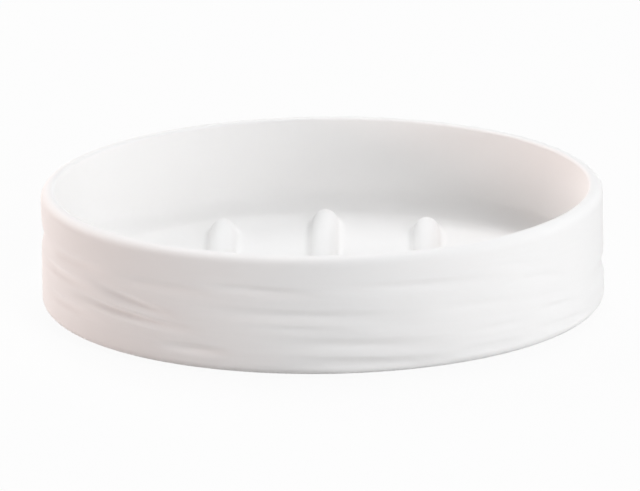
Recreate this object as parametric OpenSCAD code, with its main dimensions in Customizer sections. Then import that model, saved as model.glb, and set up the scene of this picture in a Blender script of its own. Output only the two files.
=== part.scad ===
// Oval soap dish: a cast bowl with shallow carved grooves round its wall, three drip ribs on
// its floor and four soft pads under its base. The length lies along X and the width along Y.
// The pads stand on Z = 0, and the origin lies under the middle of the dish.

/* [Bowl] */
// Length over the wall
dish_l = 140; // [110:1:180]
// Width over the wall
dish_w = 102; // [80:1:130]
// Height from the surface under the pads to the rim
dish_h = 31; // [24:0.5:45]
// Thickness of the wall, most of which the rim's outer edge rounds over
wall_t = 3.4; // [3:0.1:6]
// How far the wall leans in from its foot to the rim
wall_lean = 0.6; // [0:0.1:2]
// Rounding of the rim's inner edge
rim_inner_r = 0.8; // [0.3:0.1:0.8]
// Thickness of the floor over the recess below it
floor_t = 4.7; // [3.5:0.1:7]
// Radius between the floor and the inside of the wall
fillet_r = 5.8; // [3:0.1:7]
// Radius of the edge under the wall
edge_r = 2.5; // [1:0.1:4]

/* [Carved grooves] */
// Depth of the deepest groove in the wall
groove_depth = 1.5; // [0:0.1:1.5]
// Width of a groove from its upper lip to its lower lip
groove_w = 4.2; // [2:0.1:6]

/* [Drip ribs] */
// Number of ribs
rib_count = 3; // [1, 3]
// Distance from one rib's middle to the next
rib_pitch = 25.7; // [16:0.1:28]
// Diameter of a rib's round back
rib_d = 6.8; // [6.4:0.1:10]
// Height of a rib over the floor
rib_h = 4.1; // [2:0.1:4.5]
// Radius of the fillet round a rib's foot
rib_fillet_r = 1.8; // [0.6:0.1:2.5]
// How much a rib's ends are drawn out, from 1 for half round to a long bullet
rib_end_stretch = 1.9; // [1:0.1:3]
// Flat floor left free past each end of the middle rib
rib_gap = 0.5; // [0.2:0.1:9]

/* [Underside] */
// Width of the foot ring round the recess
ring_w = 8; // [6:0.5:11]
// Depth of the recess inside the foot ring
recess_depth = 2; // [1:0.1:3]

/* [Foot pads] */
// Diameter of a pad
pad_d = 10; // [8:0.5:13]
// How far a pad stands out below the foot ring
pad_proud = 0.8; // [0.3:0.1:2]
// Depth of the seat that holds a pad
seat_depth = 0.5; // [0.3:0.1:1]
// Free space round a pad in its seat
seat_clearance = 0.2; // [0.1:0.05:0.5]
// Flat left between the slope of the recess and a pad
pad_inset = 1; // [0.5:0.5:4]
// Rounding of a pad's lower edge
pad_edge_r = 0.6; // [0.2:0.1:1]

/* [Hidden] */

// Facets round the dish, up its wall, over each edge of its rim, over its lower edge and in its
// fillet
around = 96;
wall_steps = 22;
rim_steps = 3;
edge_steps = 3;
fillet_steps = 5;

// Facets round a rib's end, over its back, and round a pad and its seat
rib_around = 32;
rib_steps = 7;
pad_around = 64;

half_l = dish_l / 2;
half_w = dish_w / 2;
rim_outer_share = 0.68;
rim_outer_r = rim_outer_share * wall_t;
base_z = pad_proud;
roof_z = base_z + recess_depth;
floor_z = roof_z + floor_t;
wall_low = base_z + edge_r;
wall_high = dish_h - rim_outer_r;
inner_inset = wall_lean + wall_t;
floor_inset = inner_inset + fillet_r;

// How far a solid runs into the one that it joins, or a cut past its face
overrun = 1;

// Ribs stand on the flat floor, and their tips lie on an oval inside it
rib_r = rib_d / 2;
rib_drop = rib_r - rib_h;
rib_foot = sqrt(pow(rib_r + rib_fillet_r, 2) - pow(rib_drop + rib_fillet_r, 2));
rib_tips_share = 0.813;

// Pads lie on an oval inside the foot ring, this far round from the dish's length
pad_turn = 40;
pad_reach = ring_w + recess_depth + pad_inset + pad_d / 2;
pad_x = (half_l - pad_reach) * cos(pad_turn);
pad_y = (half_w - pad_reach) * sin(pad_turn);
pad_h = pad_proud + recess_depth + seat_depth;

// Grooves on the front half, seen from the front from left to right. Each row gives the turn of
// its middle and its reach to either side, in degrees, then its height and its rise over the
// reach as shares of the dish's height, and its width and depth as shares of the values above
groove_shares = [
    [204, 18, 0.520, 0.000, 0.85, 0.40],
    [208, 15, 0.290, 0.000, 0.90, 0.40],
    [211, 13, 0.690, 0.015, 0.90, 0.40],
    [228, 20, 0.380, -0.045, 0.85, 1.00],
    [229, 14, 0.500, -0.075, 1.10, 0.85],
    [236, 15, 0.680, -0.010, 0.90, 0.55],
    [244, 9, 0.195, 0.000, 0.80, 0.60],
    [258, 14, 0.720, -0.020, 0.85, 0.50],
    [267, 12, 0.410, -0.015, 0.70, 0.30],
    [268, 27, 0.515, -0.020, 1.10, 0.60],
    [278, 22, 0.265, -0.030, 1.25, 0.65],
    [281, 20, 0.115, -0.035, 1.15, 0.60],
    [284, 13, 0.435, -0.020, 0.80, 0.15],
    [290, 24, 0.730, -0.035, 1.00, 0.40],
    [303, 13, 0.515, -0.030, 0.80, 0.20],
    [306, 10, 0.140, -0.010, 0.80, 0.20],
    [309, 9, 0.290, -0.010, 0.75, 0.15],
    [315, 9, 0.755, -0.045, 0.80, 0.15],
    [321, 9, 0.605, -0.045, 0.80, 0.20],
    [322, 10, 0.435, -0.035, 0.80, 0.15],
    [327, 11, 0.310, -0.045, 0.80, 0.30],
    [329, 13, 0.150, -0.035, 0.85, 0.35],
    [357, 26, 0.350, 0.010, 1.80, 0.50],
];

// A smooth hump, one high in the middle and nought from one step out
function hump(step) = abs(step) < 1 ? pow(1 - step * step, 2) : 0;

// The short way round from one turn to another
function turn_apart(turn, middle) = (turn - middle + 540) % 360 - 180;

// How deep one groove is at a turn and height. A twin lies half a turn on and upside down
function groove_at(turn, z, row, twin) =
    let(
        apart = turn_apart(turn, row[0] + (twin ? 180 : 0)) / row[1],
        height_share = row[2] + row[3] * apart,
        middle = dish_h * (twin ? 1 - height_share : height_share)
    )
    groove_depth * row[5] * hump(apart) * hump((z - middle) / (groove_w * row[4] / 2));

// All grooves together, which fade out under the rim and over the lower edge
function carved(turn, z) =
    let(
        fade = min(1, max(0, (wall_high - z) / groove_w)) * min(1, max(0, (z - base_z) / edge_r)),
        front = [for (row = groove_shares) groove_at(turn, z, row, false)],
        back = [for (row = groove_shares) groove_at(turn, z, row, true)]
    )
    fade * (sum(front) + sum(back));

function sum(list) = list * [for (item = list) 1];

// A point that lies an inset in from the dish's outline, squarely to it
function oval_point(turn, inset) =
    let(square = [half_w * cos(turn), half_l * sin(turn)])
    [half_l * cos(turn), half_w * sin(turn)] - inset * square / norm(square);

// How far the outside of the wall has leaned in at a height
function lean_at(z) = wall_lean * (z - wall_low) / (wall_high - wall_low);

// The section of the bowl from the recess, under and up the wall, over the rim and down to the
// floor. Each row is an inset from the outline, a height and whether the grooves cut there
section = concat(
    [[ring_w + recess_depth, roof_z, 0], [ring_w, base_z, 0]],
    [
        for (i = [0:edge_steps])
            let(a = 90 * i / edge_steps)
            [edge_r * (1 - sin(a)), base_z + edge_r * (1 - cos(a)), 1]
    ],
    [
        for (i = [1:wall_steps])
            let(z = wall_low + (wall_high - wall_low) * i / wall_steps)
            [lean_at(z), z, 1]
    ],
    [
        for (i = [1:rim_steps])
            let(a = 90 * i / rim_steps)
            [wall_lean + rim_outer_r * (1 - cos(a)), wall_high + rim_outer_r * sin(a), 0]
    ],
    [
        for (i = [0:rim_steps])
            let(a = 90 * i / rim_steps)
            [inner_inset - rim_inner_r * (1 - sin(a)), dish_h - rim_inner_r * (1 - cos(a)), 0]
    ],
    [
        for (i = [0:fillet_steps])
            let(a = 90 * i / fillet_steps)
            [inner_inset + fillet_r * (1 - cos(a)), floor_z + fillet_r * (1 - sin(a)), 0]
    ]
);

module bowl() {
    last = len(section) - 1;
    points = [
        for (row = section)
            for (i = [0:around - 1])
                let(
                    turn = 360 * i / around,
                    place = oval_point(turn, row[0] + row[2] * carved(turn, row[1]))
                )
                [place[0], place[1], row[1]]
    ];
    sides = [
        for (k = [0:last - 1])
            for (i = [0:around - 1])
                let(
                    next = (i + 1) % around,
                    low = k * around,
                    high = low + around
                )
                each [
                    [low + i, high + next, low + next],
                    [low + i, high + i, high + next],
                ]
    ];
    roof = [for (i = [0:around - 1]) i];
    floor_face = [for (i = [0:around - 1]) last * around + around - 1 - i];
    polyhedron(points, concat(sides, [roof, floor_face]));
}

// How far a rib's tips are from its middle, at a distance from the middle of the dish
function rib_reach(x) =
    let(
        tips_l = rib_tips_share * (half_l - floor_inset),
        tips_w = half_w - floor_inset - rib_gap
    )
    tips_w * sqrt(1 - pow(x / tips_l, 2));

// Half the section of a rib, from its foot in the floor, up its fillet and over its back
module rib_half_section() {
    side = atan2(rib_drop + rib_fillet_r, rib_foot);
    polygon(concat(
        [[0, -overrun], [rib_foot, -overrun]],
        [
            for (i = [0:rib_steps])
                let(a = (90 - side) * i / rib_steps)
                [rib_foot - rib_fillet_r * sin(a), rib_fillet_r * (1 - cos(a))]
        ],
        [
            for (i = [1:rib_steps])
                let(a = side + (90 - side) * i / rib_steps)
                [rib_r * cos(a), rib_r * sin(a) - rib_drop]
        ]
    ));
}

module rib(x) {
    straight = rib_reach(x) - rib_end_stretch * rib_foot;
    translate([x, 0, floor_z]) {
        translate([0, straight, 0])
            rotate([90, 0, 0])
                linear_extrude(2 * straight)
                    for (side = [0, 1])
                        mirror([side, 0])
                            rib_half_section();
        for (side = [-1, 1])
            translate([0, side * straight, 0])
                scale([1, rib_end_stretch, 1])
                    rotate_extrude($fn = rib_around)
                        rib_half_section();
    }
}

module dish_body() {
    color("#f1efec")
        difference() {
            union() {
                bowl();
                for (i = [0:rib_count - 1])
                    rib((i - (rib_count - 1) / 2) * rib_pitch);
            }
            for (x = [-pad_x, pad_x])
                for (y = [-pad_y, pad_y])
                    translate([x, y, roof_z - overrun])
                        cylinder(h = seat_depth + overrun, d = pad_d + 2 * seat_clearance, $fn = pad_around);
        }
}

// One pad, seated against the roof of its seat
module foot_pad(x_side, y_side) {
    pad_r = pad_d / 2;
    color("#e4e5e3")
        translate([x_side * pad_x, y_side * pad_y, 0])
            rotate_extrude($fn = pad_around) {
                translate([0, pad_edge_r])
                    square([pad_r, pad_h - pad_edge_r]);
                square([pad_r - pad_edge_r, pad_h]);
                translate([pad_r - pad_edge_r, pad_edge_r])
                    circle(pad_edge_r, $fn = pad_around);
            }
}

dish_body();
foot_pad(-1, -1);  // foot_pad_front_left
foot_pad(1, -1);  // foot_pad_front_right
foot_pad(-1, 1);  // foot_pad_back_left
foot_pad(1, 1);  // foot_pad_back_right
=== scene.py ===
"""An oval soap dish in matte white glaze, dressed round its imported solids.

The bowl is one casting, made with Geometry Nodes. Its section is carried round an oval, with
shallow grooves carved one after another into the outside. Drip ribs and the seats of the foot
pads are small sections turned about their own middles, and flat sheets close what lies between.
"""
import math

import bpy
from mathutils import Matrix, Vector


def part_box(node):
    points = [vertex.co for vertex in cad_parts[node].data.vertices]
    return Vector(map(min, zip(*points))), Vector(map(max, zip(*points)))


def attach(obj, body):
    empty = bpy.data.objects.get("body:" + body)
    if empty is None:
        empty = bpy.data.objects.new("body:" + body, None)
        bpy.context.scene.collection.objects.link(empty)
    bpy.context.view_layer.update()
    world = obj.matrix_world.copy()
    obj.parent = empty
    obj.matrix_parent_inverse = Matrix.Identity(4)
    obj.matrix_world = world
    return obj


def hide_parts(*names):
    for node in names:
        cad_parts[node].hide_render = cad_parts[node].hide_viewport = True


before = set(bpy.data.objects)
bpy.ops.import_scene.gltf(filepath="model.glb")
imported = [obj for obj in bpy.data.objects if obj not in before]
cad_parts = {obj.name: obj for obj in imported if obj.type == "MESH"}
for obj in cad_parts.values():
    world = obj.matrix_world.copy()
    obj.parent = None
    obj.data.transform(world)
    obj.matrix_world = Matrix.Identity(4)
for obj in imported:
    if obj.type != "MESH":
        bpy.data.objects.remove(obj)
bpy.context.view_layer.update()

MM = 0.001

# The bowl's outside and its pads' places come from the frame
bowl_low, bowl_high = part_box("dish_body")
pad_low, pad_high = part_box("foot_pad_back_right")
HALF_LENGTH = bowl_high.x
HALF_WIDTH = bowl_high.y
FOOT_HEIGHT = bowl_low.z
RIM_HEIGHT = bowl_high.z

# What the bowl is cast to
WALL = 3.4 * MM
WALL_LEAN = 0.6 * MM
RIM_OUTER_SHARE = 0.68
RIM_OUTER_RADIUS = RIM_OUTER_SHARE * WALL
RIM_INNER_RADIUS = 0.8 * MM
RIM_MIDDLE_INSET = WALL_LEAN + WALL / 2
FLOOR_THICKNESS = 4.7 * MM
FILLET_RADIUS = 5.8 * MM
EDGE_RADIUS = 2.5 * MM
RING_WIDTH = 8 * MM
RING_EDGE_RADIUS = 1 * MM
RECESS_DEPTH = 2 * MM
RECESS_CORNER_RADIUS = 0.4 * MM
ROOF_HEIGHT = FOOT_HEIGHT + RECESS_DEPTH
FLOOR_HEIGHT = ROOF_HEIGHT + FLOOR_THICKNESS
FLOOR_INSET = WALL_LEAN + WALL + FILLET_RADIUS

# Drip ribs, each a round back that runs out into the floor through a small fillet. Their ends
# are drawn out like a bullet's, and their tips lie on an oval
RIB_PITCH = 25.7 * MM
RIB_RADIUS = 3.4 * MM
RIB_HEIGHT = 4.1 * MM
RIB_FILLET = 1.8 * MM
RIB_DROP = RIB_RADIUS - RIB_HEIGHT
RIB_FOOT = math.sqrt((RIB_RADIUS + RIB_FILLET) ** 2 - (RIB_DROP + RIB_FILLET) ** 2)
RIB_END_STRETCH = 1.9
TIPS_HALF_LENGTH = 49 * MM
TIPS_HALF_WIDTH = 40.7 * MM
RIBS = 3

# Round seats for the foot pads, a little wider than the pads
SEAT_CLEARANCE = 0.2 * MM
SEAT_RADIUS = (pad_high.x - pad_low.x) / 2 + SEAT_CLEARANCE
SEAT_X = (pad_low.x + pad_high.x) / 2
SEAT_Y = (pad_low.y + pad_high.y) / 2
SEAT_TOP = pad_high.z
SEAT_EDGE_RADIUS = 0.1 * MM

# The grooves on the front half, from left to right. The back half has their twins, half a turn
# on and upside down. Each row has the turn of the middle and the reach to either side in
# degrees, the height and the rise over the reach as shares of the rim's height, and the width
# and depth as shares of the common groove's
GROOVE_WIDTH = 4.2 * MM
GROOVE_DEPTH = 1.5 * MM
GROOVE_SHARES = [
    (204, 18, 0.520, 0.000, 0.85, 0.40),
    (208, 15, 0.290, 0.000, 0.90, 0.40),
    (211, 13, 0.690, 0.015, 0.90, 0.40),
    (228, 20, 0.380, -0.045, 0.85, 1.00),
    (229, 14, 0.500, -0.075, 1.10, 0.85),
    (236, 15, 0.680, -0.010, 0.90, 0.55),
    (244, 9, 0.195, 0.000, 0.80, 0.60),
    (258, 14, 0.720, -0.020, 0.85, 0.50),
    (267, 12, 0.410, -0.015, 0.70, 0.30),
    (268, 27, 0.515, -0.020, 1.10, 0.60),
    (278, 22, 0.265, -0.030, 1.25, 0.65),
    (281, 20, 0.115, -0.035, 1.15, 0.60),
    (284, 13, 0.435, -0.020, 0.80, 0.15),
    (290, 24, 0.730, -0.035, 1.00, 0.40),
    (303, 13, 0.515, -0.030, 0.80, 0.20),
    (306, 10, 0.140, -0.010, 0.80, 0.20),
    (309, 9, 0.290, -0.010, 0.75, 0.15),
    (315, 9, 0.755, -0.045, 0.80, 0.15),
    (321, 9, 0.605, -0.045, 0.80, 0.20),
    (322, 10, 0.435, -0.035, 0.80, 0.15),
    (327, 11, 0.310, -0.045, 0.80, 0.30),
    (329, 13, 0.150, -0.035, 0.85, 0.35),
    (357, 26, 0.350, 0.010, 1.80, 0.50),
]

# Fine brushed streaks between the grooves, long along the wall and narrow up it
STREAK_LENGTH = 14 * MM
STREAK_WIDTH = 1.6 * MM
STREAK_DEPTH = 0.15 * MM

# How finely the bowl is meshed. A narrow flat band beyond each rounding keeps its shading off
# the large flat sheets
WALL_COLUMNS = 600
WALL_ROW = 0.36 * MM
ROUND_COLUMNS = 48
ARC_STEP = math.radians(10)
FLAT_BAND = 0.12 * MM
WELD = 0.005 * MM

# A turned sheet's columns are marked far or near by their sine times this, cut off at 1. All
# but the two columns on the middle line get the full mark
MARK_STEEPNESS = 100.0

# The patterns of the finishes, in real sizes. The glaze's grain is drawn coarser than a real
# one, which would be too fine to show
THIN_GLAZE_PATCH = 22 * MM
GLAZE_GRAIN = 0.9 * MM
GLAZE_GRAIN_HEIGHT = 0.05 * MM
CLAY_SPECK = 0.8 * MM
CLAY_SPECK_HEIGHT = 0.1 * MM
SILICONE_HAZE = 3 * MM
SILICONE_GRAIN = 0.25 * MM
SILICONE_GRAIN_HEIGHT = 0.02 * MM
SILICONE_SCATTER = 1.5 * MM

# Where a mix node has its two colours and its result, among sockets that share their names
MIX_FIRST = 6
MIX_SECOND = 7
MIX_RESULT = 2

# The camera stands where the photograph was taken from: turned a little to the left, looking
# down, and aimed a little above the bowl's foot
IMAGE_WIDTH = 640
FOCAL_PIXELS = 5620
SENSOR_WIDTH = 36
CAMERA_DISTANCE = 1.4
CAMERA_TURN = math.radians(1.5)
CAMERA_TILT = math.radians(21.53)
CAMERA_ROLL = math.radians(0.97)
AIM_RIGHT = -0.6 * MM
AIM_UP = 13.75 * MM

# Square softboxes round the bowl, all as far off. Each row has the name, the azimuth and the
# elevation in degrees, the size in metres, the watts and the colour. The low ones light the
# walls and the high ones the floor, so that the fillet between them stays in a soft shade
LAMP_DISTANCE = 1.5
LAMPS = [
    ("top", 80, 75, 0.6, 8.9, "#FBFDFF"),
    ("back", 110, 50, 0.5, 4.2, "#FDFEFF"),
    ("back_left", 150, 30, 0.5, 4.7, "#FDFEFF"),
    ("left_low", 182, 8, 0.3, 10.1, "#FFE7DF"),
    ("front", 312, 42, 0.5, 7.4, "#FEFEFF"),
    ("window", 314, 20, 0.4, 4.1, "#F9FCFF"),
    ("window_low", 332, 7, 0.3, 5.6, "#FFFFFF"),
]

# The floor is lit and shaded, and shows mostly as plain white, so its shadow is faint
FLOOR_REACH = 4
FLOOR_COLOUR = "#DADADA"
FLOOR_WHITE_SHARE = 0.94
WHITE = "#FFFFFF"
AMBIENT_COLOUR = "#FBF6F4"
AMBIENT_STRENGTH = 0.01


def add(tree, kind, given=(), **settings):
    """Adds one node with its settings. given lists its inputs in order, or maps their names,
    to a value, a socket, or a node whose first output is meant. None keeps an input as it is."""
    node = tree.nodes.new(kind)
    for name, value in settings.items():
        setattr(node, name, value)
    for name, value in given.items() if isinstance(given, dict) else enumerate(given):
        if isinstance(value, bpy.types.Node):
            value = next(socket for socket in value.outputs if socket.enabled)
        if isinstance(value, bpy.types.NodeSocket):
            tree.links.new(value, node.inputs[name])
        elif value is not None:
            node.inputs[name].default_value = value
    return node


def geometry_tree(name, inputs, outputs):
    """An empty geometry tree with these sockets, and the sockets that its inputs arrive by."""
    tree = bpy.data.node_groups.new(name, "GeometryNodeTree")
    for direction, sockets in (("INPUT", inputs), ("OUTPUT", outputs)):
        for label, kind in sockets.items():
            tree.interface.new_socket(label, in_out=direction, socket_type=f"NodeSocket{kind}")
    return tree, tree.nodes.new("NodeGroupInput").outputs


def section_sheet_tree():
    """A flat grid with a column for each turn and a row for each point of a section, and what
    bends it: each vertex's turn, inset, share of the carving, and height."""
    tree, given = geometry_tree(
        "Section Sheet",
        {"Section": "Object", "Columns": "Int"},
        {
            "Geometry": "Geometry",
            "Turn": "Float",
            "Inset": "Float",
            "Carved Share": "Float",
            "Height": "Float",
        },
    )
    section = add(tree, "GeometryNodeObjectInfo", {"Object": given["Section"]}).outputs["Geometry"]
    rows = add(tree, "GeometryNodeAttributeDomainSize", [section]).outputs["Point Count"]
    last_row = add(tree, "ShaderNodeMath", [rows, 1.0], operation="SUBTRACT")
    columns = add(tree, "ShaderNodeMath", [given["Columns"], 1.0], operation="ADD")
    grid = add(tree, "GeometryNodeMeshGrid", [math.tau, last_row, columns, rows])
    place = add(tree, "GeometryNodeInputPosition")
    turn, across, _ = add(tree, "ShaderNodeSeparateXYZ", [place]).outputs
    row = add(tree, "ShaderNodeMath", [last_row, 0.5, across], operation="MULTIPLY_ADD")
    whole_row = add(tree, "ShaderNodeMath", [row], operation="ROUND")
    point = add(
        tree, "GeometryNodeSampleIndex", [section, place, whole_row], data_type="FLOAT_VECTOR"
    )
    inset, share, height = add(tree, "ShaderNodeSeparateXYZ", [point]).outputs
    add(tree, "NodeGroupOutput", [grid, turn, inset, share, height])
    return tree


def hump_tree():
    """A smooth hump, which is 1 in the middle and 0 from one step out."""
    tree, given = geometry_tree("Hump", {"Step": "Float"}, {"Share": "Float"})
    square = add(tree, "ShaderNodeMath", [given["Step"], given["Step"]], operation="MULTIPLY")
    rest = add(tree, "ShaderNodeMath", [1.0, square], operation="SUBTRACT", use_clamp=True)
    add(tree, "NodeGroupOutput", [add(tree, "ShaderNodeMath", [rest, rest], operation="MULTIPLY")])
    return tree


def groove_tree():
    """How deep the grooves are at a turn and a height. Each pass of the loop adds one groove."""
    tree, given = geometry_tree(
        "Grooves",
        {"Grooves": "Object", "Turn": "Float", "Height": "Float"},
        {"Depth": "Float"},
    )
    grooves = add(tree, "GeometryNodeObjectInfo", {"Object": given["Grooves"]}).outputs["Geometry"]
    count = add(tree, "GeometryNodeAttributeDomainSize", [grooves]).outputs["Point Count"]
    first = tree.nodes.new("GeometryNodeRepeatInput")
    last = tree.nodes.new("GeometryNodeRepeatOutput")
    first.pair_with_output(last)
    last.repeat_items.clear()
    last.repeat_items.new("FLOAT", "Depth")
    tree.links.new(count, first.inputs["Iterations"])

    row = []
    for label in ("place", "size"):
        named = add(tree, "GeometryNodeInputNamedAttribute", [label], data_type="FLOAT_VECTOR")
        found = add(
            tree,
            "GeometryNodeSampleIndex",
            [grooves, named, first.outputs["Iteration"]],
            data_type="FLOAT_VECTOR",
        )
        row += add(tree, "ShaderNodeSeparateXYZ", [found]).outputs
    middle, height, rise, reach, half_width, depth = row

    # The way round to the groove's middle is the short one, and the groove slopes along it
    apart = add(tree, "ShaderNodeMath", [given["Turn"], middle], operation="SUBTRACT")
    short_way = add(tree, "ShaderNodeMath", [apart, math.pi, -math.pi], operation="WRAP")
    along = add(tree, "ShaderNodeMath", [short_way, reach], operation="DIVIDE")
    line = add(tree, "ShaderNodeMath", [along, rise, height], operation="MULTIPLY_ADD")
    above = add(tree, "ShaderNodeMath", [given["Height"], line], operation="SUBTRACT")
    across = add(tree, "ShaderNodeMath", [above, half_width], operation="DIVIDE")
    hump = hump_tree()
    lengthwise = add(tree, "GeometryNodeGroup", [along], node_tree=hump)
    crosswise = add(tree, "GeometryNodeGroup", [across], node_tree=hump)
    share = add(tree, "ShaderNodeMath", [lengthwise, crosswise], operation="MULTIPLY")
    deeper = add(
        tree, "ShaderNodeMath", [share, depth, first.outputs["Depth"]], operation="MULTIPLY_ADD"
    )
    tree.links.new(deeper.outputs[0], last.inputs["Depth"])
    add(tree, "NodeGroupOutput", [last.outputs["Depth"]])
    return tree


def streak_tree():
    """Fine hand-brushed relief, from a noise that is drawn out along the wall."""
    tree, given = geometry_tree(
        "Brushed Streaks",
        {"Place": "Vector", "Length": "Float", "Width": "Float", "Depth": "Float"},
        {"Depth": "Float"},
    )
    lengthwise = add(tree, "ShaderNodeMath", [1.0, given["Length"]], operation="DIVIDE")
    crosswise = add(tree, "ShaderNodeMath", [1.0, given["Width"]], operation="DIVIDE")
    stretch = add(tree, "ShaderNodeCombineXYZ", [lengthwise, lengthwise, crosswise])
    stretched = add(tree, "ShaderNodeVectorMath", [given["Place"], stretch], operation="MULTIPLY")
    noise = add(tree, "ShaderNodeTexNoise", {"Vector": stretched, "Scale": 1.0, "Detail": 2.0})
    depth = add(tree, "ShaderNodeMath", [noise, given["Depth"]], operation="MULTIPLY")
    add(tree, "NodeGroupOutput", [depth])
    return tree


def oval_wall_tree(section_sheet):
    """The bowl's section carried round the oval, squarely to it, with its outside carved."""
    tree, given = geometry_tree(
        "Oval Wall",
        {
            "Section": "Object",
            "Columns": "Int",
            "Half Length": "Float",
            "Half Width": "Float",
            "Grooves": "Object",
            "Streak Length": "Float",
            "Streak Width": "Float",
            "Streak Depth": "Float",
        },
        {"Geometry": "Geometry"},
    )
    sheet = add(
        tree,
        "GeometryNodeGroup",
        [given["Section"], given["Columns"]],
        node_tree=section_sheet,
    )
    grid, turn, inset, share, height = sheet.outputs
    cosine = add(tree, "ShaderNodeMath", [turn], operation="COSINE")
    sine = add(tree, "ShaderNodeMath", [turn], operation="SINE")
    on_circle = add(tree, "ShaderNodeCombineXYZ", [cosine, sine])
    halves = add(tree, "ShaderNodeCombineXYZ", [given["Half Length"], given["Half Width"]])
    crossed = add(tree, "ShaderNodeCombineXYZ", [given["Half Width"], given["Half Length"]])
    on_oval = add(tree, "ShaderNodeVectorMath", [on_circle, halves], operation="MULTIPLY")
    square = add(tree, "ShaderNodeVectorMath", [on_circle, crossed], operation="MULTIPLY")
    outwards = add(tree, "ShaderNodeVectorMath", [square], operation="NORMALIZE")
    up = add(tree, "ShaderNodeCombineXYZ", {"Z": height})
    uncarved = add(tree, "ShaderNodeVectorMath", [on_oval, up], operation="ADD")
    grooves = add(
        tree, "GeometryNodeGroup", [given["Grooves"], turn, height], node_tree=groove_tree()
    )
    streaks = add(
        tree,
        "GeometryNodeGroup",
        [uncarved, given["Streak Length"], given["Streak Width"], given["Streak Depth"]],
        node_tree=streak_tree(),
    )
    carved = add(tree, "ShaderNodeMath", [grooves, streaks], operation="ADD")
    inwards = add(tree, "ShaderNodeMath", [carved, share, inset], operation="MULTIPLY_ADD")
    offset = add(tree, "ShaderNodeVectorMath", {0: outwards, "Scale": inwards}, operation="SCALE")
    place = add(tree, "ShaderNodeVectorMath", [uncarved, offset], operation="SUBTRACT")
    add(
        tree,
        "NodeGroupOutput",
        [add(tree, "GeometryNodeSetPosition", {"Geometry": grid, "Position": place})],
    )
    return tree


def turned_sheet_tree(section_sheet):
    """A section turned about its own middle. Each vertex keeps "end", which is 1 on the far
    side, -1 on the near side and 0 between them, for what is then drawn out into a slot."""
    tree, given = geometry_tree(
        "Turned Sheet", {"Section": "Object", "Columns": "Int"}, {"Geometry": "Geometry"}
    )
    sheet = add(
        tree,
        "GeometryNodeGroup",
        [given["Section"], given["Columns"]],
        node_tree=section_sheet,
    )
    grid, turn, radius, _, height = sheet.outputs
    cosine = add(tree, "ShaderNodeMath", [turn], operation="COSINE")
    sine = add(tree, "ShaderNodeMath", [turn], operation="SINE")
    steep_sine = add(tree, "ShaderNodeMath", [sine, MARK_STEEPNESS], operation="MULTIPLY")
    end = add(tree, "ShaderNodeClamp", [steep_sine, -1.0, 1.0])
    marked = add(
        tree, "GeometryNodeStoreNamedAttribute", {"Geometry": grid, "Name": "end", "Value": end}
    )
    across = add(tree, "ShaderNodeMath", [cosine, radius], operation="MULTIPLY")
    along = add(tree, "ShaderNodeMath", [sine, radius], operation="MULTIPLY")
    place = add(tree, "ShaderNodeCombineXYZ", [across, along, height])
    add(
        tree,
        "NodeGroupOutput",
        [add(tree, "GeometryNodeSetPosition", {"Geometry": marked, "Position": place})],
    )
    return tree


def rib_row_tree(turned_sheet):
    """Ribs in a row, each drawn out until its tips touch an oval."""
    tree, given = geometry_tree(
        "Rib Row",
        {
            "Section": "Object",
            "Columns": "Int",
            "Ribs": "Int",
            "Pitch": "Float",
            "Foot": "Float",
            "End Stretch": "Float",
            "Tips Half Length": "Float",
            "Tips Half Width": "Float",
        },
        {"Geometry": "Geometry"},
    )
    rib = add(
        tree,
        "GeometryNodeGroup",
        [given["Section"], given["Columns"]],
        node_tree=turned_sheet,
    )
    spaces = add(tree, "ShaderNodeMath", [given["Ribs"], 1.0], operation="SUBTRACT")
    whole = add(tree, "ShaderNodeMath", [spaces, given["Pitch"]], operation="MULTIPLY")
    left = add(tree, "ShaderNodeMath", [whole, -0.5], operation="MULTIPLY")
    start = add(tree, "ShaderNodeCombineXYZ", [left])
    step = add(tree, "ShaderNodeCombineXYZ", [given["Pitch"]])
    places = add(
        tree,
        "GeometryNodeMeshLine",
        {"Count": given["Ribs"], "Start Location": start, "Offset": step},
    )
    middle, _, _ = add(
        tree, "ShaderNodeSeparateXYZ", [add(tree, "GeometryNodeInputPosition")]
    ).outputs
    noted = add(
        tree,
        "GeometryNodeStoreNamedAttribute",
        {"Geometry": places, "Name": "middle", "Value": middle},
    )
    stretch = add(tree, "ShaderNodeCombineXYZ", [1.0, given["End Stretch"], 1.0])
    row = add(
        tree,
        "GeometryNodeInstanceOnPoints",
        {"Points": noted, "Instance": rib, "Scale": stretch},
    )
    real = add(tree, "GeometryNodeRealizeInstances", [row])

    # How far out the oval is at the rib's own place
    rib_x = add(tree, "GeometryNodeInputNamedAttribute", ["middle"])
    share = add(tree, "ShaderNodeMath", [rib_x, given["Tips Half Length"]], operation="DIVIDE")
    square = add(tree, "ShaderNodeMath", [share, share], operation="MULTIPLY")
    rest = add(tree, "ShaderNodeMath", [1.0, square], operation="SUBTRACT")
    narrowed = add(tree, "ShaderNodeMath", [rest], operation="SQRT")
    to_tip = add(
        tree, "ShaderNodeMath", [narrowed, given["Tips Half Width"]], operation="MULTIPLY"
    )
    tip = add(tree, "ShaderNodeMath", [given["Foot"], given["End Stretch"]], operation="MULTIPLY")
    straight = add(tree, "ShaderNodeMath", [to_tip, tip], operation="SUBTRACT")
    end = add(tree, "GeometryNodeInputNamedAttribute", ["end"])
    drawn = add(tree, "ShaderNodeMath", [end, straight], operation="MULTIPLY")
    offset = add(tree, "ShaderNodeCombineXYZ", {"Y": drawn})
    add(
        tree,
        "NodeGroupOutput",
        [add(tree, "GeometryNodeSetPosition", {"Geometry": real, "Offset": offset})],
    )
    return tree


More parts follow.
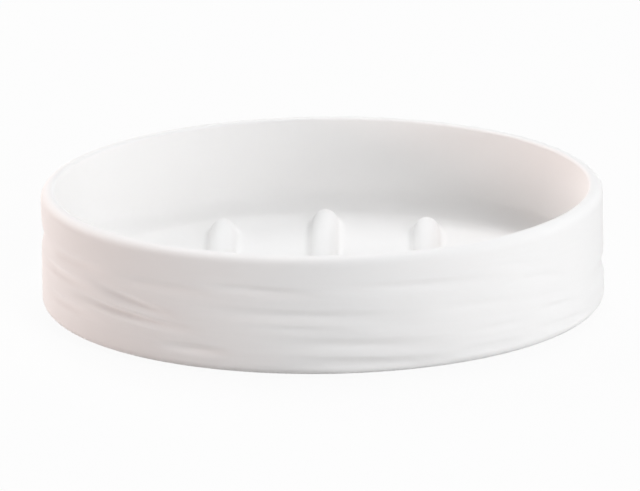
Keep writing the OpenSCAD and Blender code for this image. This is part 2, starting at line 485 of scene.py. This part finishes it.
def seat_tree(turned_sheet):
    """Four seats, one to each quarter of the bowl."""
    tree, given = geometry_tree(
        "Pad Seats",
        {"Section": "Object", "Columns": "Int", "Apart X": "Float", "Apart Y": "Float"},
        {"Geometry": "Geometry"},
    )
    seat = add(
        tree,
        "GeometryNodeGroup",
        [given["Section"], given["Columns"]],
        node_tree=turned_sheet,
    )
    corners = add(tree, "GeometryNodeMeshGrid", [given["Apart X"], given["Apart Y"], 2, 2])
    placed = add(tree, "GeometryNodeInstanceOnPoints", {"Points": corners, "Instance": seat})
    add(tree, "NodeGroupOutput", [add(tree, "GeometryNodeRealizeInstances", [placed])])
    return tree


def bowl_tree(glaze, bare_clay):
    """The whole casting: its wall, ribs and seats, and the flat sheets between their edges."""
    tree, given = geometry_tree(
        "Cast Bowl",
        {
            "Wall Section": "Object",
            "Wall Columns": "Int",
            "Half Length": "Float",
            "Half Width": "Float",
            "Grooves": "Object",
            "Streak Length": "Float",
            "Streak Width": "Float",
            "Streak Depth": "Float",
            "Round Columns": "Int",
            "Rib Section": "Object",
            "Ribs": "Int",
            "Rib Pitch": "Float",
            "Rib Foot": "Float",
            "Rib End Stretch": "Float",
            "Rib Tips Half Length": "Float",
            "Rib Tips Half Width": "Float",
            "Seat Section": "Object",
            "Seats Apart X": "Float",
            "Seats Apart Y": "Float",
            "Floor Height": "Float",
            "Roof Height": "Float",
            "Foot Height": "Float",
            "Weld": "Float",
        },
        {"Geometry": "Geometry"},
    )
    section_sheet = section_sheet_tree()
    turned_sheet = turned_sheet_tree(section_sheet)
    wall = add(
        tree,
        "GeometryNodeGroup",
        [
            given[label]
            for label in (
                "Wall Section",
                "Wall Columns",
                "Half Length",
                "Half Width",
                "Grooves",
                "Streak Length",
                "Streak Width",
                "Streak Depth",
            )
        ],
        node_tree=oval_wall_tree(section_sheet),
    )
    ribs = add(
        tree,
        "GeometryNodeGroup",
        [
            given[label]
            for label in (
                "Rib Section",
                "Round Columns",
                "Ribs",
                "Rib Pitch",
                "Rib Foot",
                "Rib End Stretch",
                "Rib Tips Half Length",
                "Rib Tips Half Width",
            )
        ],
        node_tree=rib_row_tree(turned_sheet),
    )
    seats = add(
        tree,
        "GeometryNodeGroup",
        [
            given[label]
            for label in ("Seat Section", "Round Columns", "Seats Apart X", "Seats Apart Y")
        ],
        node_tree=seat_tree(turned_sheet),
    )
    formed = add(tree, "GeometryNodeJoinGeometry")
    for piece in (seats, ribs, wall):
        tree.links.new(piece.outputs[0], formed.inputs[0])
    shell = add(
        tree, "GeometryNodeMergeByDistance", {"Geometry": formed, "Distance": given["Weld"]}
    )

    # Open edges have one face beside them. Those at the floor's height bound the floor, and those
    # at the roof's height the roof
    height = add(
        tree, "ShaderNodeSeparateXYZ", [add(tree, "GeometryNodeInputPosition")]
    ).outputs["Z"]
    neighbours = add(tree, "GeometryNodeInputMeshEdgeNeighbors")
    is_open = add(tree, "ShaderNodeMath", [neighbours, 1.0, 0.5], operation="COMPARE")
    whole = add(tree, "GeometryNodeJoinGeometry", [shell])
    for level, faces_down in ((given["Floor Height"], False), (given["Roof Height"], True)):
        on_level = add(tree, "ShaderNodeMath", [height, level, given["Weld"]], operation="COMPARE")
        bounds_it = add(tree, "ShaderNodeMath", [is_open, on_level], operation="MULTIPLY")
        loops = add(tree, "GeometryNodeMeshToCurve", [shell, bounds_it])
        flat = add(tree, "GeometryNodeFillCurve", [loops])
        up = add(tree, "ShaderNodeCombineXYZ", {"Z": level})
        sheet = add(tree, "GeometryNodeTransform", {"Geometry": flat, "Translation": up})
        if faces_down:
            sheet = add(tree, "GeometryNodeFlipFaces", [sheet])
        tree.links.new(sheet.outputs[0], whole.inputs[0])
    bare = whole
    for label in ("end", "middle"):
        bare = add(tree, "GeometryNodeRemoveAttribute", {"Geometry": bare, "Name": label})
    closed = add(
        tree, "GeometryNodeMergeByDistance", {"Geometry": bare, "Distance": given["Weld"]}
    )
    smooth = add(tree, "GeometryNodeSetShadeSmooth", [closed])
    real = add(tree, "GeometryNodeRealizeInstances", [smooth])
    glazed = add(tree, "GeometryNodeSetMaterial", {"Geometry": real, "Material": glaze})
    on_foot = add(
        tree, "ShaderNodeMath", [height, given["Foot Height"], given["Weld"]], operation="COMPARE"
    )
    add(
        tree,
        "NodeGroupOutput",
        [
            add(
                tree,
                "GeometryNodeSetMaterial",
                {"Geometry": glazed, "Selection": on_foot, "Material": bare_clay},
            )
        ],
    )
    return tree


def arc(middle, start, stop):
    """Points round part of a circle, from one vector off its middle to another."""
    steps = math.ceil(start.angle(stop) / ARC_STEP)
    radius = start.length
    return [middle + radius * start.slerp(stop, step / steps) for step in range(steps + 1)]


def rounded(corners):
    """The points along a line through corners, each (across, up, radius), all rounded."""
    ends = [Vector(corner[:2]) for corner in corners]
    points = [ends[0]]
    for before, corner, after, (_, _, radius) in zip(ends, ends[1:], ends[2:], corners[1:]):
        back = (before - corner).normalized()
        on = (after - corner).normalized()
        half = back.angle(on) / 2
        middle = corner + (back + on).normalized() * radius / math.sin(half)
        start = corner + back * radius / math.tan(half) - middle
        stop = corner + on * radius / math.tan(half) - middle
        points += arc(middle, start, stop)
    return points + [ends[-1]]


def wall_section():
    """From the recess's roof, over the foot and up the outside, round the rim and down to the
    floor. Each point is (inset, share of the carving that it takes, height)."""
    recess_corner = RING_WIDTH + RECESS_DEPTH
    line = rounded(
        [
            (recess_corner + RECESS_CORNER_RADIUS / 2, ROOF_HEIGHT, 0),
            (recess_corner, ROOF_HEIGHT, RECESS_CORNER_RADIUS),
            (RING_WIDTH, FOOT_HEIGHT, RING_EDGE_RADIUS),
            (0, FOOT_HEIGHT, EDGE_RADIUS),
            (WALL_LEAN, RIM_HEIGHT, RIM_OUTER_RADIUS),
            (WALL_LEAN + WALL, RIM_HEIGHT, RIM_INNER_RADIUS),
            (WALL_LEAN + WALL, FLOOR_HEIGHT, FILLET_RADIUS),
            (FLOOR_INSET + FLAT_BAND, FLOOR_HEIGHT, 0),
        ]
    )
    groove_top = RIM_HEIGHT - RIM_OUTER_RADIUS
    section = []
    for here, there in zip(line, line[1:]):
        outside = max(here.x, there.x) < RIM_MIDDLE_INSET
        steps = math.ceil((there - here).length / WALL_ROW) if outside else 1
        for step in range(steps):
            inset, height = here.lerp(there, step / steps)
            below_rim = min(max((groove_top - height) / GROOVE_WIDTH, 0), 1)
            above_foot = min(max((height - FOOT_HEIGHT) / EDGE_RADIUS, 0), 1)
            share = below_rim * above_foot if inset < RIM_MIDDLE_INSET else 0
            section.append((inset, share, height))
    return section + [(line[-1].x, 0, line[-1].y)]


def rib_section():
    """From the flat floor, up through the fillet and over the back to the rib's middle."""
    back = Vector((0, -RIB_DROP))
    fillet = Vector((RIB_FOOT, RIB_FILLET))
    outwards = (fillet - back).normalized()
    line = [Vector((RIB_FOOT + FLAT_BAND, 0))]
    line += arc(fillet, Vector((0, -RIB_FILLET)), -RIB_FILLET * outwards)
    line += arc(back, RIB_RADIUS * outwards, Vector((0, RIB_RADIUS)))
    return [(radius, 0, FLOOR_HEIGHT + height) for radius, height in line]


def seat_section():
    """From the middle of the seat's top, down its side and out onto the recess's roof."""
    line = rounded(
        [
            (0, SEAT_TOP, 0),
            (SEAT_RADIUS, SEAT_TOP, SEAT_EDGE_RADIUS),
            (SEAT_RADIUS, ROOF_HEIGHT, SEAT_EDGE_RADIUS),
            (SEAT_RADIUS + SEAT_EDGE_RADIUS + FLAT_BAND, ROOF_HEIGHT, 0),
        ]
    )
    return [(radius, 0, height) for radius, height in line]


def numbers_object(name, points, **rows):
    """An object outside the scene that brings points, and vectors on them, to a tree."""
    mesh = bpy.data.meshes.new(name)
    mesh.from_pydata(points, [], [])
    for label, vectors in rows.items():
        attribute = mesh.attributes.new(label, "FLOAT_VECTOR", "POINT")
        attribute.data.foreach_set("vector", [number for vector in vectors for number in vector])
    return bpy.data.objects.new(name, mesh)


def groove_rows():
    """Each groove's place (turn, height, rise) and size (reach, half width, depth)."""
    places = []
    sizes = []
    for turn, reach, height, rise, width, depth in GROOVE_SHARES:
        size = (math.radians(reach), width * GROOVE_WIDTH / 2, depth * GROOVE_DEPTH)
        places += [
            (math.radians(turn), height * RIM_HEIGHT, rise * RIM_HEIGHT),
            (math.radians(turn - 180), (1 - height) * RIM_HEIGHT, -rise * RIM_HEIGHT),
        ]
        sizes += [size, size]
    return places, sizes


def made_from(name, tree, inputs):
    """A plain mesh object made by a geometry tree from values for its named inputs."""
    piece = bpy.data.objects.new(name, bpy.data.meshes.new(name))
    bpy.context.scene.collection.objects.link(piece)
    modifier = piece.modifiers.new(name, "NODES")
    modifier.node_group = tree
    for label, value in inputs.items():
        modifier[tree.interface.items_tree[label].identifier] = value
    bpy.context.view_layer.update()
    evaluated = piece.evaluated_get(bpy.context.evaluated_depsgraph_get())
    mesh = bpy.data.meshes.new_from_object(evaluated)
    piece.modifiers.clear()
    piece.data = mesh
    return piece


def linear(hex_colour):
    """A colour written as sRGB hex, as the linear RGBA that sockets take."""
    shares = [int(hex_colour[place : place + 2], 16) / 255 for place in (1, 3, 5)]
    return [s / 12.92 if s <= 0.04045 else ((s + 0.055) / 1.055) ** 2.4 for s in shares] + [1]


def surface(name):
    """A material, and its tree with nothing in it."""
    material = bpy.data.materials.new(name)
    material.use_nodes = True
    material.node_tree.nodes.clear()
    return material, material.node_tree


def matte_white_glaze():
    """Stoneware under a matte white glaze that was brushed on. The eye sees a soft, even white
    without reflections, a little warmer where the glaze lies thin, and an eggshell grain."""
    material, tree = surface("matte_white_glaze_on_stoneware")
    place = add(tree, "ShaderNodeTexCoord").outputs["Object"]
    thinning = add(
        tree,
        "ShaderNodeTexNoise",
        {"Vector": place, "Scale": 1 / THIN_GLAZE_PATCH, "Detail": 3.0},
    )
    colour = add(
        tree,
        "ShaderNodeMix",
        {
            "Factor": thinning,
            MIX_FIRST: linear("#F2F1F0"),
            MIX_SECOND: linear("#F5F4F3"),
        },
        data_type="RGBA",
    )
    grain = add(
        tree, "ShaderNodeTexNoise", {"Vector": place, "Scale": 1 / GLAZE_GRAIN, "Detail": 3.0}
    )
    relief = add(
        tree,
        "ShaderNodeBump",
        {"Height": grain, "Strength": 0.25, "Distance": GLAZE_GRAIN_HEIGHT},
    )
    roughness = add(
        tree, "ShaderNodeMapRange", {"Value": thinning, "To Min": 0.62, "To Max": 0.74}
    )
    shader = add(
        tree,
        "ShaderNodeBsdfPrincipled",
        {
            "Base Color": colour.outputs[MIX_RESULT],
            "Roughness": roughness,
            "Normal": relief,
            "IOR": 1.5,
        },
    )
    add(tree, "ShaderNodeOutputMaterial", [shader])
    return material


def unglazed_stoneware():
    """The foot ring, wiped bare of glaze before firing. The eye sees dry, fine-grained clay."""
    material, tree = surface("unglazed_stoneware")
    place = add(tree, "ShaderNodeTexCoord").outputs["Object"]
    specks = add(
        tree, "ShaderNodeTexNoise", {"Vector": place, "Scale": 1 / CLAY_SPECK, "Detail": 4.0}
    )
    colour = add(
        tree,
        "ShaderNodeMix",
        {
            "Factor": specks,
            MIX_FIRST: linear("#D9D0C3"),
            MIX_SECOND: linear("#E6DFD4"),
        },
        data_type="RGBA",
    )
    relief = add(
        tree, "ShaderNodeBump", {"Height": specks, "Strength": 0.5, "Distance": CLAY_SPECK_HEIGHT}
    )
    shader = add(
        tree,
        "ShaderNodeBsdfPrincipled",
        {
            "Base Color": colour.outputs[MIX_RESULT],
            "Roughness": 0.85,
            "Normal": relief,
            "IOR": 1.5,
        },
    )
    add(tree, "ShaderNodeOutputMaterial", [shader])
    return material


def soft_silicone():
    """Moulded silicone rubber, milky and slightly see-through. The eye sees a dull sheen."""
    material, tree = surface("moulded_silicone_rubber")
    place = add(tree, "ShaderNodeTexCoord").outputs["Object"]
    haze = add(
        tree, "ShaderNodeTexNoise", {"Vector": place, "Scale": 1 / SILICONE_HAZE, "Detail": 2.0}
    )
    colour = add(
        tree,
        "ShaderNodeMix",
        {
            "Factor": haze,
            MIX_FIRST: linear("#D8DAD8"),
            MIX_SECOND: linear("#E3E5E3"),
        },
        data_type="RGBA",
    )
    fine = add(tree, "ShaderNodeTexNoise", {"Vector": place, "Scale": 1 / SILICONE_GRAIN})
    relief = add(
        tree,
        "ShaderNodeBump",
        {"Height": fine, "Strength": 0.3, "Distance": SILICONE_GRAIN_HEIGHT},
    )
    shader = add(
        tree,
        "ShaderNodeBsdfPrincipled",
        {
            "Base Color": colour.outputs[MIX_RESULT],
            "Roughness": 0.45,
            "Normal": relief,
            "IOR": 1.41,
            "Subsurface Weight": 0.3,
            "Subsurface Scale": SILICONE_SCATTER,
        },
    )
    add(tree, "ShaderNodeOutputMaterial", [shader])
    return material


# The bowl
section = numbers_object("wall_section", wall_section())
ribs = numbers_object("rib_section", rib_section())
seats = numbers_object("seat_section", seat_section())
places, sizes = groove_rows()
grooves = numbers_object("grooves", [(0, 0, 0)] * len(places), place=places, size=sizes)
bowl = made_from(
    "glazed_bowl",
    bowl_tree(matte_white_glaze(), unglazed_stoneware()),
    {
        "Wall Section": section,
        "Wall Columns": WALL_COLUMNS,
        "Half Length": HALF_LENGTH,
        "Half Width": HALF_WIDTH,
        "Grooves": grooves,
        "Streak Length": STREAK_LENGTH,
        "Streak Width": STREAK_WIDTH,
        "Streak Depth": STREAK_DEPTH,
        "Round Columns": ROUND_COLUMNS,
        "Rib Section": ribs,
        "Ribs": RIBS,
        "Rib Pitch": RIB_PITCH,
        "Rib Foot": RIB_FOOT,
        "Rib End Stretch": RIB_END_STRETCH,
        "Rib Tips Half Length": TIPS_HALF_LENGTH,
        "Rib Tips Half Width": TIPS_HALF_WIDTH,
        "Seat Section": seats,
        "Seats Apart X": 2 * SEAT_X,
        "Seats Apart Y": 2 * SEAT_Y,
        "Floor Height": FLOOR_HEIGHT,
        "Roof Height": ROOF_HEIGHT,
        "Foot Height": FOOT_HEIGHT,
        "Weld": WELD,
    },
)
for helper in (section, ribs, seats, grooves):
    bpy.data.objects.remove(helper)
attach(bowl, "root")
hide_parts("dish_body")

# The pads keep their solids
silicone = soft_silicone()
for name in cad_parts:
    if name.startswith("foot_pad"):
        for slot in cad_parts[name].material_slots:
            slot.material = silicone


def build_camera():
    """The camera looks the way that the photograph was taken, from its distance."""
    right = Vector((math.cos(CAMERA_TURN), math.sin(CAMERA_TURN), 0))
    level = Vector((-right.y, right.x, 0))
    up = level * math.sin(CAMERA_TILT) + Vector((0, 0, math.cos(CAMERA_TILT)))
    ahead = level * math.cos(CAMERA_TILT) - Vector((0, 0, math.sin(CAMERA_TILT)))
    place = right * AIM_RIGHT + up * AIM_UP - ahead * CAMERA_DISTANCE
    axes = Matrix((right, up, -ahead)).transposed() @ Matrix.Rotation(-CAMERA_ROLL, 3, "Z")
    camera = bpy.data.objects.new("camera", bpy.data.cameras.new("camera"))
    camera.matrix_world = Matrix.Translation(place) @ axes.to_4x4()
    camera.data.sensor_width = SENSOR_WIDTH
    camera.data.lens = FOCAL_PIXELS / IMAGE_WIDTH * SENSOR_WIDTH
    bpy.context.scene.collection.objects.link(camera)
    bpy.context.scene.camera = camera


def build_lamp(name, azimuth, elevation, size, watts, colour):
    """One softbox, which faces the bowl."""
    lamp = bpy.data.objects.new(name, bpy.data.lights.new(name, "AREA"))
    lamp.data.size = size
    lamp.data.energy = watts
    lamp.data.color = linear(colour)[:3]
    away = Matrix.Rotation(math.radians(azimuth), 3, "Z") @ (
        Matrix.Rotation(math.radians(-elevation), 3, "Y") @ Vector((1, 0, 0))
    )
    lamp.location = away * LAMP_DISTANCE
    lamp.rotation_euler = away.to_track_quat("Z", "Y").to_euler()
    bpy.context.scene.collection.objects.link(lamp)


def sees_background(tree):
    """Is 1 where the background is seen, straight on, in a gloss or through glass, and else 0."""
    path = add(tree, "ShaderNodeLightPath").outputs
    glossy = add(
        tree, "ShaderNodeMath", [path["Is Camera Ray"], path["Is Glossy Ray"]], operation="MAXIMUM"
    )
    return add(
        tree, "ShaderNodeMath", [glossy, path["Is Transmission Ray"]], operation="MAXIMUM"
    )


def build_studio():
    """A pale floor with a faint shadow, and a surround that looks white but hardly lights."""
    mesh = bpy.data.meshes.new("floor")
    sides = ((-1, -1), (1, -1), (1, 1), (-1, 1))
    corners = [(x * FLOOR_REACH, y * FLOOR_REACH, 0) for x, y in sides]
    mesh.from_pydata(corners, [], [(0, 1, 2, 3)])
    floor = bpy.data.objects.new("floor", mesh)
    bpy.context.scene.collection.objects.link(floor)
    material, tree = surface("white_floor")
    seen = sees_background(tree)
    most = add(tree, "ShaderNodeMath", [seen, FLOOR_WHITE_SHARE], operation="MULTIPLY")
    lit = add(tree, "ShaderNodeBsdfDiffuse", {"Color": linear(FLOOR_COLOUR)})
    white = add(tree, "ShaderNodeEmission", {"Color": linear(WHITE), "Strength": 1.0})
    shown = add(tree, "ShaderNodeMixShader", [most, lit, white])
    add(tree, "ShaderNodeOutputMaterial", [shown])
    mesh.materials.append(material)

    world = bpy.data.worlds.new("surround")
    world.use_nodes = True
    world.node_tree.nodes.clear()
    bpy.context.scene.world = world
    tree = world.node_tree
    seen = sees_background(tree)
    ambient = add(
        tree,
        "ShaderNodeBackground",
        {"Color": linear(AMBIENT_COLOUR), "Strength": AMBIENT_STRENGTH},
    )
    white = add(tree, "ShaderNodeBackground", {"Color": linear(WHITE), "Strength": 1.0})
    shown = add(tree, "ShaderNodeMixShader", [seen, ambient, white])
    add(tree, "ShaderNodeOutputWorld", [shown])


build_camera()
build_studio()
for lamp in LAMPS:
    build_lamp(*lamp)
bpy.context.scene.view_settings.view_transform = "Standard"
